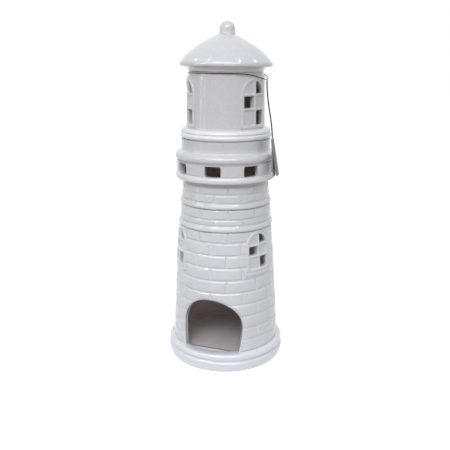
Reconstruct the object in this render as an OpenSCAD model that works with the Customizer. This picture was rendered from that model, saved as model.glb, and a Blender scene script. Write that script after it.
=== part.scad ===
// Glazed ceramic lighthouse lantern for one tealight, in millimetres.
// The origin is the centre of the foot, on the surface it stands on.
// +Z is up and the candle door looks along -Y. Azimuths turn from the door towards +X.

/* [Ceramic] */
// Thickness of the ceramic wall
wall = 4.5; // [3.5:0.5:5.5]
// Depth of the joints between the moulded bricks
joint_d = 0.8; // [0.4:0.1:1.2]
// Width of the joints between the moulded bricks
joint_w = 2.2; // [1.2:0.2:2.4]
// Number of bricks in one course
bricks = 10; // [8:1:14]

/* [Foot] */
// Widest radius of the foot
foot_r = 53.8; // [52:0.1:58]
// Height of the big round moulding of the foot
foot_h = 10.5; // [9:0.5:12]
// Height of the small round moulding above it
toe_h = 6.5; // [6:0.5:7]
// Radius of the small round moulding
toe_r = 53.3; // [51:0.1:53.6]
// Top of the chamber floor, above the surface it stands on
floor_z = 14; // [12:0.5:15]
// Thickness of the chamber floor
floor_t = 5; // [3:0.5:7]
// Distance of the sill inside the door from the axis
sill_out = 40.2; // [39:0.1:43]

/* [Tower] */
// Radius of the brick tower at its foot
tower_foot_r = 48.6; // [47:0.2:49.4]
// Radius of the brick tower under the gallery
tower_head_r = 38.1; // [36:0.2:39]
// How late the taper sets in: 1 is a straight cone
taper_curve = 1.4; // [1:0.1:2]
// Height of one course of bricks
course_h = 11.1; // [10:0.1:12]
// Courses below the lower band, the last one included
lower_courses = 10; // [10:1:11]
// Height of the last course below the lower band
last_course_h = 9.6; // [8:0.1:12]
// Height of the lower band
lower_band_h = 5.2; // [4:0.1:7]
// Height of the cut course above the lower band
low_course_h = 5; // [4:0.1:7]
// Height of the full course between the bands
middle_h = 9.3; // [8:0.1:11]
// Height of the upper band
upper_band_h = 4.8; // [4:0.1:7]
// How far the bands stand proud of the wall
band_proud = 1.1; // [0.8:0.1:2]
// Height of the full course above the upper band
high_course_h = 7.4; // [6:0.1:9]
// Height of the cut course under the gallery
cut_course_h = 6.8; // [5:0.1:8]

/* [Door] */
// Width of the round-headed candle door at its widest
door_w = 54.4; // [48:0.2:57]
// Width of the candle door at its sill
door_sill_w = 52.6; // [44:0.2:56]
// Height of the candle door above its sill
door_h = 48.3; // [44:0.1:52]

/* [Tower windows] */
// Azimuth of each tower window from the door
tower_window_az = 57; // [52:1:62]
// Width of the glazing
tower_glass_w = 20.2; // [18:0.2:22]
// Height of the glazing to the top of its arch
tower_glass_h = 30; // [26:0.5:34]
// Plain wall between the window frame and the band above it
tower_window_drop = 0.6; // [0.4:0.2:6]

/* [Gallery] */
// Radius of the parapet wall
gallery_r = 43.6; // [42:0.2:46]
// Height of the flared underside
gallery_flare_h = 6; // [5:0.5:8]
// Height of the parapet above the flare
gallery_wall_h = 13; // [12:0.5:16]
// How far the lip at its foot stands proud
lip_proud = 1.1; // [0.6:0.1:1.6]
// Number of light slots round the parapet
slots = 8; // [6:1:9]
// Width of one light slot
slot_w = 13.5; // [10:0.5:16]
// Height of one light slot
slot_h = 9; // [7:0.5:10]
// Height of the round cornice above the parapet
cornice_h = 11.6; // [10:0.2:13]
// How far the cornice stands proud of the parapet
cornice_proud = 1; // [0.6:0.1:1.6]

/* [Lantern room] */
// Radius of the plain drum over the cornice
drum_r = 39.2; // [38:0.2:41]
// Height of the plain drum
drum_h = 6.4; // [5:0.2:9]
// Height of the double moulding that carries the lantern room
sill_h = 11; // [10:0.2:13]
// Radius of the lantern room at its foot
lantern_foot_r = 34; // [33.5:0.1:35]
// Radius of the lantern room at its head
lantern_head_r = 33.2; // [32.8:0.1:34.5]
// Height of the lantern room, the neck included
lantern_h = 46; // [44:0.5:50]
// Height of the narrow neck under the roof
neck_h = 3.8; // [3:0.2:5]
// Depth of the neck into the wall
neck_d = 0.9; // [0.5:0.1:1.2]
// Azimuth of each lantern window from the door
lantern_window_az = 61; // [56:1:66]
// Width of the glazing
lantern_glass_w = 22; // [20:0.2:24]
// Height of the glazing to the top of its arch
lantern_glass_h = 35.5; // [33:0.5:36.5]
// Bottom of the glazing above the foot of the lantern room
lantern_glass_rise = 3; // [2.6:0.1:4]

/* [Window frames] */
// Width of the raised frame round the glazing
frame_w = 3.2; // [2.4:0.2:4]
// Width of the glazing bars
bar_w = 2.3; // [1.6:0.1:3]
// How far the frame stands proud of the wall
frame_proud = 0.7; // [0.4:0.1:1.6]
// Depth of the blind panes below the wall's face
blind_d = 0.4; // [0.2:0.1:0.8]
// Height of the ledge under a tower window
ledge_h = 3; // [2:0.2:4]

/* [Roof] */
// Radius of the eave
eave_r = 39.9; // [38.5:0.1:43]
// Rise of the hollow underside from the neck to the eave
soffit_h = 4.1; // [3.5:0.1:6]
// Height of the roof above its seat, without the finial
roof_h = 30.2; // [28:0.2:35]
// Thickness of the roof
roof_t = 4; // [3:0.5:5]
// Depth of the collar that drops into the lantern room
collar_h = 7; // [5:0.5:10]
// Radial clearance round the collar
collar_gap = 0.5; // [0.3:0.1:1]
// Thickness of the collar
collar_t = 3; // [2:0.5:4]
// Radius of the finial
finial_r = 6.4; // [6:0.1:8]
// Height of the finial
finial_h = 10.8; // [8:0.2:13]

/* [Tag] */
// Thickness of the doubled string that the card hangs on
string_d = 1.1; // [0.8:0.1:1.4]
// Thickness of the single string round the neck
loop_d = 0.7; // [0.5:0.1:1.2]
// Width of the folded card
card_w = 10; // [8:0.5:11]
// Length of the folded card
card_h = 32; // [26:1:36]
// Thickness of one leaf
leaf_t = 0.5; // [0.4:0.1:0.8]
// Opening between the two leaves at the bottom
card_spread = 3.4; // [2:0.2:5]

/* [Hidden] */
$fn = 96;

GLAZE = [0.9, 0.9, 0.93];
INSIDE = [0.72, 0.7, 0.7];
CORD = [0.12, 0.1, 0.09];
CARD = [0.8, 0.8, 0.78];
far = 200;       // longer than any cut needs to be
eps = 0.01;
seat_gap = 0.3;  // clearance between the tag's string and what it hangs from or carries

// Shapes of the mouldings
parapet_extra = 1.2;      // the parapet is cast this much thicker than the tower
lip_h = 5;                // height of the lip at the foot of the parapet
lip_in = 2;               // how far the lip's round reaches into the wall
slot_drop = 1;            // wall left between a light slot and the cornice
slot_corner = 1.6;        // radius of a slot's corners
cornice_in = 4;           // how far the cornice's round reaches in from the parapet's face
cornice_low = 1 / 3;      // share of the cornice's height below its widest line
cornice_high = 0.38;      // share of its height in the round above that line
sill_low = 0.3;           // share of the sill's height in its lower moulding
sill_high = 0.4;          // share in its upper moulding
sill_low_proud = 0.4;     // how far the lower moulding stands proud of the drum
sill_high_proud = 1.1;    // how far the upper moulding does
sill_fillet = 0.9;        // round between the sill and the lantern room
bar_at = [0.36, 0.69];    // places of the two cross bars, as shares of the glazing's height
ledge_out = 1;            // how far a ledge runs past its frame on each side
cone_slope = 0.474;       // fall of the roof near its peak
shoulder = 4.25;          // how late the roof turns down to the eave
eave_t = 2.6;             // height of the eave's edge
eave_rim = 1.6;           // flat rim under the eave
eave_edge = 0.4;          // round of the eave's edge
finial_step = 0.7;        // how far the finial's foot stands proud of its side
collar_edge = 0.6;        // chamfer that leads the collar in
loop_rest = 0.15;         // clearance between the loop of string and the neck
loop_drop = 1;            // how far the loop hangs under the roof
toe_low = 0.75;           // share of the foot's height below its widest line
foot_round = 3.6;         // how far the big moulding's round reaches in
chamber_step = 0.4;       // the foot reaches this much further in than the wall on it
sill_az = -4.3;           // the way the sill inside the door faces
door_mid = -0.7;          // the door's middle, to the right of straight ahead
door_lean = 3.4;          // how far its crown lies left of that
door_spring = 0.48;       // share of its height at which the arch begins
lower_turn = -1.9;        // the courses below the last are set round by this much

// Heights of the seams, from the foot up
tower_z = foot_h + toe_h;
lower_band_z = tower_z + (lower_courses - 1) * course_h + last_course_h;
low_course_z = lower_band_z + lower_band_h;
middle_z = low_course_z + low_course_h;
upper_band_z = middle_z + middle_h;
high_z = upper_band_z + upper_band_h;
cut_z = high_z + high_course_h;
gallery_z = cut_z + cut_course_h;
parapet_z = gallery_z + gallery_flare_h;
cornice_z = parapet_z + gallery_wall_h;
drum_z = cornice_z + cornice_h;
sill_z = drum_z + drum_h;
lantern_z = sill_z + sill_h;
roof_z = lantern_z + lantern_h;
eave_z = roof_z + soffit_h;
finial_z = roof_z + roof_h;
tower_glass_z = lower_band_z - tower_window_drop - frame_w - tower_glass_h;
lantern_glass_z = lantern_z + lantern_glass_rise;

// Radii of the seams
sole_r = foot_r - 0.3 * foot_h;               // outside of the flat ring that the foot stands on
chamber_r = tower_foot_r - wall;              // inside of the brick wall at its foot
floor_r = chamber_r - chamber_step;           // radius of the chamber floor
sole_in_r = chamber_r - wall;                 // inside of the foot ring, a ledge for the floor
neck_r = lantern_head_r - neck_d;
neck_in_r = neck_r - wall + neck_d;           // inside of the lantern room at its head
gallery_in_r = gallery_r - wall - parapet_extra;
drum_in_r = drum_r - wall;
lantern_in_r = lantern_foot_r - wall;
collar_r = neck_in_r - collar_gap;
finial_seat_r = finial_r + finial_step;
loop_r = neck_r + loop_d / 2 + loop_rest;     // centre line of the loop of string

// The tower's outer radius at height z: a taper that sets in late
function tower_r(z) = tower_foot_r - (tower_foot_r - tower_head_r)
    * pow(max(0, (z - tower_z) / (gallery_z - tower_z)), taper_curve);
// The lantern room's outer radius at height z: a straight cone
function lantern_r(z) = lantern_foot_r - (lantern_foot_r - lantern_head_r)
    * (z - lantern_z) / (lantern_h - neck_h);

// Points of an elliptical arc in a section, from angle a to angle b
function arc(r, z, rr, rz, a, b, n = 8) =
    [for (i = [0:n]) let (t = a + (b - a) * i / n) [r + rr * cos(t), z + rz * sin(t)]];
// Points of a swelling face between two radii, fullest near its foot
function swell(r0, z0, r1, z1, proud, n = 10) = [for (i = [0:n]) let (t = i / n)
    [r0 + (r1 - r0) * t + proud * sin(180 * pow(t, 0.6)), z0 + (z1 - z0) * t]];
// Face of one course of bricks, its edges chamfered into the joints
function course_face(z0, z1) = let (h = joint_w / 2, c = joint_w / 4)
    [[tower_r(z0) - joint_d, z0 + c], [tower_r(z0 + h), z0 + h],
     [tower_r((z0 + z1) / 2), (z0 + z1) / 2],
     [tower_r(z1 - h), z1 - h], [tower_r(z1) - joint_d, z1 - c]];
// Inside face of the tower between two heights, from the top down
function bore_face(z0, z1, n = 4) =
    [for (i = [n:-1:0]) let (z = z0 + (z1 - z0) * i / n) [tower_r(z) - wall, z]];
// A point from its height and its place in the tag's own directions
function in_plan(az, side, out) = [side * cos(az) + out * sin(az), side * sin(az) - out * cos(az)];

module ring(section) { rotate_extrude() polygon(section); }
module at(az) { rotate([0, 0, az]) children(); }

// Upright joints of one course: slots tilted to follow the taper
module upright_joints(z0, z1, turn) {
    lean = atan((tower_r(z0) - tower_r(z1)) / (z1 - z0));
    for (i = [0:bricks - 1])
        at(turn + 360 * i / bricks)
            translate([0, -tower_r((z0 + z1) / 2), (z0 + z1) / 2])
                rotate([-lean, 0, 0])
                    translate([-joint_w / 2, -2 * joint_d, -(z1 - z0) / 2])
                        cube([joint_w, 3 * joint_d, z1 - z0]);
}
function brick_turn(i) = i % 2 == 0 ? 0 : 180 / bricks;
// Foot of course i below the lower band
function course_z(i) = i < lower_courses ? tower_z + i * course_h : lower_band_z;

// Round-headed outline standing on y = 0
module arch(w, h) {
    translate([-w / 2, 0]) square([w, h - w / 2]);
    translate([0, h - w / 2]) circle(d = w);
}

// Outline of a whole window round its glazing, w wide and h high, with a ledge under it
module window_outline(w, h, ledge) {
    translate([0, -frame_w]) arch(w + 2 * frame_w, h + 2 * frame_w);
    if (ledge > 0)
        translate([-w / 2 - frame_w - ledge_out, -frame_w - ledge])
            square([w + 2 * frame_w + 2 * ledge_out, ledge + eps]);
}

// Rectangle with round corners, standing on y = 0
module rounded_slot(w, h, corner) {
    translate([-w / 2 + corner, 0]) square([w - 2 * corner, h]);
    translate([-w / 2, corner]) square([w, h - 2 * corner]);
    for (x = [-1, 1], y = [corner, h - corner]) translate([x * (w / 2 - corner), y]) circle(r = corner);
}

// Round-headed outline of the candle door, standing on y = 0. Its crown lies left of its middle.
module door_outline() {
    spring = door_spring * door_h;
    rise = door_h - spring;
    translate([door_mid, 0]) polygon(concat([[-door_sill_w / 2, 0], [door_sill_w / 2, 0]],
        arc(-door_lean, spring, door_w / 2 + door_lean, rise, 0, 90, 12),
        arc(-door_lean, spring, door_w / 2 - door_lean, rise, 97.5, 180, 11)));
}
// The candle door: its cheeks run straight at the axis
module door_cut() {
    r = tower_r(tower_z + door_spring * door_h);
    left = asin((door_w / 2 - door_mid) / r);
    right = asin((door_w / 2 + door_mid) / r);
    intersection() {
        through_wall(tower_z - eps) door_outline();
        linear_extrude(far) polygon([[0, 0], [-far * sin(left), -far * cos(left)], [0, -2 * far],
            [far * sin(right), -far * cos(right)]]);
    }
}

// A prism that runs outward along -Y from the axis
module through_wall(z) {
    translate([0, 0, z]) rotate([90, 0, 0]) linear_extrude(far) children();
}

// Foot: a flat sole, a tall round moulding and a small one on top
function foot_section() = concat(
    [[sole_in_r, 0], [sole_r, 0]],
    arc(foot_r - foot_round, toe_low * foot_h, foot_round, toe_low * foot_h, -60, 0, 7),
    arc(foot_r - foot_round, toe_low * foot_h, foot_round, (1 - toe_low) * foot_h, 12, 70, 5),
    arc(toe_r - toe_h / 2, foot_h + toe_h / 2, toe_h / 2, toe_h / 2, -65, 80, 9),
    [[tower_foot_r, tower_z], [floor_r, tower_z], [floor_r, floor_z - floor_t],
     [sole_in_r, floor_z - floor_t]]);
// Everything further out than the sill inside the door
module beyond_sill() { at(sill_az) translate([-far / 2, -far - sill_out, 0]) cube([far, far, far]); }
// Straight sill inside the door, level with the top of the foot
module door_sill() {
    foot = floor_z - floor_t;
    intersection() {
        translate([0, 0, foot]) cylinder(r = chamber_r + wall / 2, h = tower_z - foot);
        beyond_sill();
    }
}
module base_plinth() {
    color(GLAZE) {
        ring(foot_section());
        door_sill();
    }
}

// Floor of the candle chamber, cut straight where it meets the sill
module chamber_floor() {
    color(INSIDE) difference() {
        translate([0, 0, floor_z - floor_t]) cylinder(r = floor_r, h = floor_t);
        beyond_sill();
    }
}

// Brick wall from the foot to the lower band, open at the door and the windows
module tower_wall() {
    color(GLAZE) difference() {
        ring(concat([[tower_r(tower_z) - joint_d, tower_z]],
            [for (i = [0:lower_courses - 1]) each course_face(course_z(i), course_z(i + 1))],
            [[tower_r(lower_band_z) - joint_d, lower_band_z]],
            bore_face(tower_z, lower_band_z, lower_courses)));
        for (i = [0:lower_courses - 1])
            upright_joints(course_z(i), course_z(i + 1),
                brick_turn(i) + (i < lower_courses - 1 ? lower_turn : 0));
        door_cut();
        for (side = [-1, 1]) at(side * tower_window_az)
            through_wall(tower_glass_z) window_outline(tower_glass_w, tower_glass_h, ledge_h);
    }
}

// Plain swelling band between two courses
module band(z0, z1) {
    color(GLAZE) ring(concat(swell(tower_r(z0), z0, tower_r(z1), z1, band_proud),
        bore_face(z0, z1, 1)));
}
module lower_band() { band(lower_band_z, low_course_z); }
module upper_band() { band(upper_band_z, high_z); }

// A cut course and a full course of bricks between the bands
module middle_courses() {
    color(GLAZE) difference() {
        ring(concat([[tower_r(low_course_z) - joint_d, low_course_z]],
            course_face(low_course_z, middle_z), course_face(middle_z, upper_band_z),
            [[tower_r(upper_band_z) - joint_d, upper_band_z]],
            bore_face(low_course_z, upper_band_z, 3)));
        upright_joints(low_course_z, middle_z, brick_turn(0));
        upright_joints(middle_z, upper_band_z, brick_turn(1));
    }
}

// The full course and the cut course that run up under the gallery
module top_courses() {
    color(GLAZE) difference() {
        ring(concat([[tower_r(high_z) - joint_d, high_z]], course_face(high_z, cut_z),
            course_face(cut_z, gallery_z), [[tower_r(gallery_z) - joint_d, gallery_z]],
            bore_face(high_z, gallery_z, 2)));
        upright_joints(high_z, cut_z, brick_turn(0));
        upright_joints(cut_z, gallery_z, brick_turn(1));
    }
}

// Parapet: a hollow flare, a round lip and a plain wall pierced by the light slots
function gallery_section() = let (flare_r = gallery_r - tower_head_r) concat(
    [[tower_head_r, gallery_z]],
    arc(gallery_r, gallery_z, flare_r, gallery_flare_h, 180, 105, 6),
    arc(gallery_r - lip_in, parapet_z + lip_h / 2, lip_in + lip_proud, lip_h / 2, -50, 60, 8),
    [[gallery_r, parapet_z + lip_h], [gallery_r, cornice_z], [gallery_in_r, cornice_z],
     [gallery_in_r, parapet_z + 1], [tower_head_r - wall, gallery_z]]);
module gallery_parapet() {
    color(GLAZE) difference() {
        ring(gallery_section());
        for (i = [0:slots - 1]) at(360 * i / slots)
            through_wall(cornice_z - slot_h - slot_drop) rounded_slot(slot_w, slot_h, slot_corner);
    }
}

// Round cornice over the parapet, sloping back to the drum
function cornice_section() = let (r = gallery_r - cornice_in, z = cornice_z + cornice_low * cornice_h,
    rr = cornice_in + cornice_proud) concat(
    [[gallery_r, cornice_z]],
    arc(r, z, rr, cornice_low * cornice_h, -60, 0, 5),
    arc(r, z, rr, cornice_high * cornice_h, 10, 80, 7),
    [[drum_r, drum_z], [drum_in_r, drum_z], [gallery_in_r, cornice_z]]);
module gallery_cornice() { color(GLAZE) ring(cornice_section()); }

module watch_drum() {
    color(GLAZE) ring([[drum_in_r, drum_z], [drum_r, drum_z], [drum_r, sill_z], [drum_in_r, sill_z]]);
}

// Double moulding that steps in from the drum to the lantern room
function sill_section() = let (low = sill_low * sill_h, high = sill_high * sill_h) concat(
    [[drum_in_r, sill_z], [drum_r, sill_z]],
    arc(drum_r - low / 2, sill_z + low / 2, low / 2 + sill_low_proud, low / 2, -60, 60, 6),
    arc(drum_r - high / 2, sill_z + low + high / 2, high / 2 + sill_high_proud, high / 2, -60, 75, 8),
    [[lantern_foot_r + sill_fillet, lantern_z - sill_fillet], [lantern_foot_r, lantern_z],
     [lantern_in_r, lantern_z], [drum_in_r, sill_z + sill_low * sill_h]]);
module lantern_sill() { color(GLAZE) ring(sill_section()); }

// Lantern room: a plain wall with a narrow neck at its head
module lantern_wall() {
    neck_z = roof_z - neck_h;
    color(GLAZE) difference() {
        ring([[lantern_foot_r, lantern_z], [lantern_head_r, neck_z], [neck_r, neck_z + neck_d],
            [neck_r, roof_z], [neck_in_r, roof_z], [lantern_in_r, lantern_z]]);
        for (side = [-1, 1]) at(side * lantern_window_az)
            through_wall(lantern_glass_z) window_outline(lantern_glass_w, lantern_glass_h, 0);
    }
}

// Panes of one window, w wide and h high, three rows in two columns.
// Every second pane is open, as on a chequer board, and the rest are blind.
module panes(w, h, open) {
    levels = [-far, bar_at[0] * h, bar_at[1] * h, far];
    for (col = [0, 1], row = [0:2])
        if (((col + row) % 2 == 1) == open)
            intersection() {
                arch(w, h);
                translate([col == 0 ? -far : bar_w / 2, levels[row] + bar_w / 2])
                    square([far - bar_w / 2, levels[row + 1] - levels[row] - bar_w]);
            }
}

// A window cast as one piece: frame and bars proud of the wall, blind panes sunk into it.
// shell is the section of frame and wall, core the section behind the blind panes.
module window(w, h, z, ledge, shell, core) {
    color(GLAZE) difference() {
        intersection() {
            ring(shell);
            through_wall(z) window_outline(w, h, ledge);
        }
        through_wall(z) panes(w, h, true);
        difference() {
            through_wall(z) panes(w, h, false);
            ring(core);
        }
    }
}

module tower_window(side) {
    z0 = tower_glass_z - frame_w - ledge_h - eps;
    z1 = lower_band_z;
    steps = [for (i = [0:8]) z0 + (z1 - z0) * i / 8];
    shell = concat([for (z = steps) [tower_r(z) + frame_proud, z]], bore_face(z0, z1, 8));
    core = concat([[0, z0]], [for (z = steps) [tower_r(z) - blind_d, z]], [[0, z1]]);
    at(side * tower_window_az)
        window(tower_glass_w, tower_glass_h, tower_glass_z, ledge_h, shell, core);
}
module tower_window_left() { tower_window(-1); }
module tower_window_right() { tower_window(1); }

module lantern_window(side) {
    z0 = lantern_z;
    z1 = roof_z - neck_h;
    inner = function(z) lantern_in_r + (neck_in_r - lantern_in_r) * (z - z0) / lantern_h;
    shell = [[lantern_r(z0) + frame_proud, z0], [lantern_r(z1) + frame_proud, z1],
             [inner(z1), z1], [inner(z0), z0]];
    core = [[0, z0], [lantern_r(z0) - blind_d, z0], [lantern_r(z1) - blind_d, z1], [0, z1]];
    at(side * lantern_window_az)
        window(lantern_glass_w, lantern_glass_h, lantern_glass_z, 0, shell, core);
}
module lantern_window_left() { lantern_window(-1); }
module lantern_window_right() { lantern_window(1); }

// Roof: a low cone with a rounded shoulder, hollow inside and flared underneath.
// roof_drop is how far the outside lies below the peak at radius r.
function roof_drop(r) = cone_slope * (r - finial_seat_r)
    + (roof_h - soffit_h - eave_t - cone_slope * (eave_r - finial_seat_r)) * pow(r / eave_r, shoulder);
function roof_section() = let (n = 12, hollow_r = collar_r - collar_t) concat(
    [[neck_r, roof_z]],
    arc(eave_r - eave_rim, roof_z, eave_r - eave_rim - neck_r, soffit_h, 180, 90, 8),
    [[eave_r - eave_edge, eave_z + eave_edge]],
    [for (i = [n:-1:0]) let (r = finial_seat_r + (eave_r - finial_seat_r) * i / n)
        [r, finial_z - roof_drop(r)]],
    [[0, finial_z], [0, finial_z - roof_t]],
    [for (i = [2:n - 1]) let (r = hollow_r * i / (n - 1))
        [r, finial_z - roof_t - roof_drop(max(r, finial_seat_r))]],
    [[hollow_r, roof_z]]);
module roof_dome() { color(GLAZE) ring(roof_section()); }

// Collar under the roof that drops into the lantern room and keeps the roof in place
module roof_collar() {
    foot = roof_z - collar_h;
    color(GLAZE) ring([[collar_r - collar_t, foot], [collar_r - collar_edge, foot],
        [collar_r, foot + collar_edge], [collar_r, roof_z], [collar_r - collar_t, roof_z]]);
}

// Thimble-shaped finial on the peak
module roof_finial() {
    cap_h = min(finial_r, finial_h - 1);
    cap_z = finial_z + finial_h - cap_h;
    color(GLAZE) ring(concat([[0, finial_z], [finial_seat_r, finial_z]],
        arc(finial_seat_r, cap_z, finial_step, cap_z - finial_z, 250, 190, 3),
        arc(0, cap_z, finial_r, cap_h, 0, 90, 10)));
}

// The tag hangs to the right of the door. Its points are [side, out, drop]: out runs along the way
// the card faces, side to the right of that, and drop is how far they lie below the seat of the roof.
tag_az = 105;          // the way the card faces
loop_az = 87;          // where the string leaves the loop
tag_route = [
    [-11.3, 34.6, 7.2], [-12.2, 34.5, 10.3], [-13.1, 34.6, 13.4], [-14.1, 34.8, 16.5],
    [-15, 35.1, 19.6], [-15.9, 35.4, 22.7], [-16.8, 35.8, 25.8], [-17.7, 36.2, 28.9],
    [-18.6, 36.7, 32], [-19.6, 37.2, 35.1], [-20.5, 37.7, 38.2], [-21.4, 38.1, 41.3],
    [-22.3, 38.5, 44.4], [-23.2, 38.8, 47.5], [-24.2, 39, 50.6], [-25, 39.1, 53.5]];
loop_slack = 3.6;      // how far the loop stands off where the string pulls it
loop_sag = 4.8;        // how far it sags there
card_lean = 7;         // degrees that the closed card leans out

function to_row(p) = concat(in_plan(tag_az, p[0], p[1]), [roof_z - p[2]]);
function unit(v) = v / norm(v);
// Circle of n points of diameter d about p, square to the way t
function hoop(p, t, d, n = 8) = let (u = unit(cross(t, abs(t[2]) > 0.7 ? [1, 0, 0] : [0, 0, 1])),
    v = cross(t, u)) [for (i = [0:n - 1]) p + d / 2 * (cos(360 * i / n) * u + sin(360 * i / n) * v)];
function ways(p, closed) = let (n = len(p)) [for (i = [0:n - 1])
    unit(p[closed ? (i + 1) % n : min(i + 1, n - 1)] - p[closed ? (i + n - 1) % n : max(i - 1, 0)])];

// A tube of diameter d along the points p, closed into a loop or capped at both ends
module tube(p, d, closed = false, n = 8) {
    t = ways(p, closed);
    rings = len(p);
    faces = [for (i = [0:closed ? rings - 1 : rings - 2], k = [0:n - 1])
        let (a = i * n, b = ((i + 1) % rings) * n, m = (k + 1) % n)
            each [[a + k, b + k, b + m], [a + k, b + m, a + m]]];
    caps = closed ? [] : [[for (k = [0:n - 1]) k], [for (k = [n - 1:-1:0]) (rings - 1) * n + k]];
    polyhedron([for (i = [0:rings - 1]) each hoop(p[i], t[i], d, n)], concat(faces, caps));
}

// Loop of string round the neck, lifted and pulled down where the tag hangs
module neck_string() {
    step = 7.5;
    color(CORD) tube([for (a = [0:step:360 - step])
        let (pull = pow(max(0, cos(a - loop_az)), 3))
            concat(in_plan(a, 0, loop_r + loop_slack * pull),
                [roof_z - loop_d - loop_drop - loop_sag * pull])], loop_d, true);
}

module tag_string() { color(CORD) tube([for (p = tag_route) to_row(p)], string_d); }

// Blank folded card: two leaves that open downward from the fold
module hang_tag() {
    top = tag_route[len(tag_route) - 1];
    fold = leaf_t * 1.4;
    color(CARD) at(tag_az) translate([top[0], -top[1], roof_z - top[2] - seat_gap])
        rotate([-card_lean, 0, 0]) rotate([90, 0, 90]) linear_extrude(card_w, center = true)
            polygon([[-fold, 0], [fold, 0], [card_spread / 2, -card_h], [card_spread / 2 - leaf_t, -card_h],
                [0, -3 * leaf_t], [-card_spread / 2 + leaf_t, -card_h], [-card_spread / 2, -card_h]]);
}

base_plinth();
chamber_floor();
tower_wall();
lower_band();
middle_courses();
upper_band();
top_courses();
gallery_parapet();
gallery_cornice();
watch_drum();
lantern_sill();
lantern_wall();
tower_window_left();
tower_window_right();
lantern_window_left();
lantern_window_right();
roof_dome();
roof_collar();
roof_finial();
neck_string();
tag_string();
hang_tag();
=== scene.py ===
from math import acos, ceil, cos, degrees, dist, pi, radians, sin, tan
import bmesh
import bpy
import numpy as np
from mathutils import Euler, Matrix, Vector


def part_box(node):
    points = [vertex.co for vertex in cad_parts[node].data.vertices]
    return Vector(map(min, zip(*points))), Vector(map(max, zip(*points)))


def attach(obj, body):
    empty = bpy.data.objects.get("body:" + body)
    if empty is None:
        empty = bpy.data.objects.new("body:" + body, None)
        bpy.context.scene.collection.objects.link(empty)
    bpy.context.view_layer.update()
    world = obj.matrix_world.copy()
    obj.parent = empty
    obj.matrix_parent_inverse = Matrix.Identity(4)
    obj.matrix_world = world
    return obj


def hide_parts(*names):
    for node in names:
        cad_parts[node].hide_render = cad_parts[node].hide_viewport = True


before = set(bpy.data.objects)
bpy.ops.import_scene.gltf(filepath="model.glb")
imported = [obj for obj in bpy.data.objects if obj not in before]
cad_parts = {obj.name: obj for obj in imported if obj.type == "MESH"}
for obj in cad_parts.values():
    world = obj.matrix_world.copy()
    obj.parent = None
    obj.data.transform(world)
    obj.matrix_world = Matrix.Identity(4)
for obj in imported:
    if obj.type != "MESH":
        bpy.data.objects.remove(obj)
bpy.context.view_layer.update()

# Everything below is worked out in millimetres and written to the meshes in metres.
MM = 0.001

# Sizes of the ware as it is cast: lengths in millimetres, turns in degrees, and shares
WALL = 4.5
JOINT_D, JOINT_W = 0.8, 2.2          # joints between the moulded bricks
BRICK_EDGE_SHADE, JOINT_LIGHT = 0.15, 0.3  # share of painted shade along a brick's edge, and of light glaze in the joints
BRICKS = 10                          # in one course
BRICK_GRID_W, BRICK_GRID_H = 3.2, 1.6  # widest grid steps along and up the bricks
DOOR_MARGIN = 0.5                    # how far from the door's outline the bricks end
TOWER_FOOT_R, TOWER_HEAD_R, TAPER = 48.6, 38.1, 1.4
COURSE_H, LAST_COURSE_H, MIDDLE_H, CUT_COURSE_H = 11.1, 9.6, 9.3, 6.8
LOWER_TURN = -1.9                    # the courses below the last are set round by this much
FOOT_H, FOOT_ROUND, TOE_R, TOE_H, TOE_LOW = 10.5, 3.6, 53.3, 6.5, 0.75
KINK_H, KINK_REACH = 0.75, 4         # step of the crease on the foot, and how far from it that shows
SILL_OUT, SILL_AZ, CHAMBER_STEP = 40.2, -4.3, 0.4
SILL_SHADE, SILL_LINE, SILL_SHADOW_DEPTH = 7.5, 0.9, 0.55  # reach, fade and depth of the painted shadow line behind the sill
BAND_PROUD, BAND_GROOVE = 1.1, 0.7
DOOR_W, DOOR_SILL_W, DOOR_H = 54.4, 50.6, 48.3
DOOR_MID, DOOR_LEAN, DOOR_SPRING, DOOR_FOOT_LEAN = -0.7, 3.4, 0.48, -0.8
TOWER_WINDOW = {"az": 57, "w": 20.2, "h": 30.0, "ledge": 3.0}
LANTERN_WINDOW = {"az": 61, "w": 22.0, "h": 35.5, "ledge": 0.0}
FRAME_W, BAR_W, FRAME_PROUD, BLIND_D, LEDGE_OUT = 3.2, 2.3, 0.7, 0.4, 1.0
BARS_AT = (0.36, 0.69)               # the cross bars, as shares of the glazing's height
BAR_ROUND, LEDGE_LINE, WINDOW_GRID = 1.1, 0.9, 0.46  # reach of a bar's round, depth over the ledge, mesh step
GALLERY_R, FLARE_H, LIP_IN, LIP_PROUD = 43.6, 6.0, 2.0, 1.1
LIP_MID, LIP_SKIRT, LIP_TOP = -0.8, 2.4, 3.4  # widest line over the flare's top, skirt below that, and top
SLOTS, SLOT_W, SLOT_H, SLOT_DROP, SLOT_CORNER = 8, 13.5, 9.0, 1.0, 1.6
CORNICE_IN, CORNICE_PROUD, CORNICE_HIGH = 4.0, 1.0, 0.38
DRUM_R, SILL_LOW, SILL_STEP, SILL_PROUD = 39.2, 0.58, 0.8, 0.9
LANTERN_FOOT_R, LANTERN_HEAD_R, NECK_H, NECK_D = 34.0, 33.2, 3.8, 0.9
EAVE_R, SOFFIT_H, EAVE_T, EAVE_RIM, ROOF_T = 39.9, 4.1, 2.6, 1.6, 4.0
CONE_SLOPE, SHOULDER = 0.474, 4.25
COLLAR_T, COLLAR_GAP, FINIAL_R, FINIAL_STEP = 3.0, 0.5, 6.4, 0.7
STRING_D, LOOP_D, CARD_W, CARD_H, LEAF_T, CARD_SPREAD, CARD_LEAN = 1.1, 0.7, 10.0, 32.0, 0.5, 3.4, 7.0
SEAT_GAP = 0.3

# How the roof was set down by hand: tilted, and its finial a little aside and leaning
ROOF_TILT, FINIAL_ASIDE, FINIAL_TILT = 0.6, 0.5, 1.6
VIEW_AZ = 15                         # the way the photo looks at it, from the door

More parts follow.
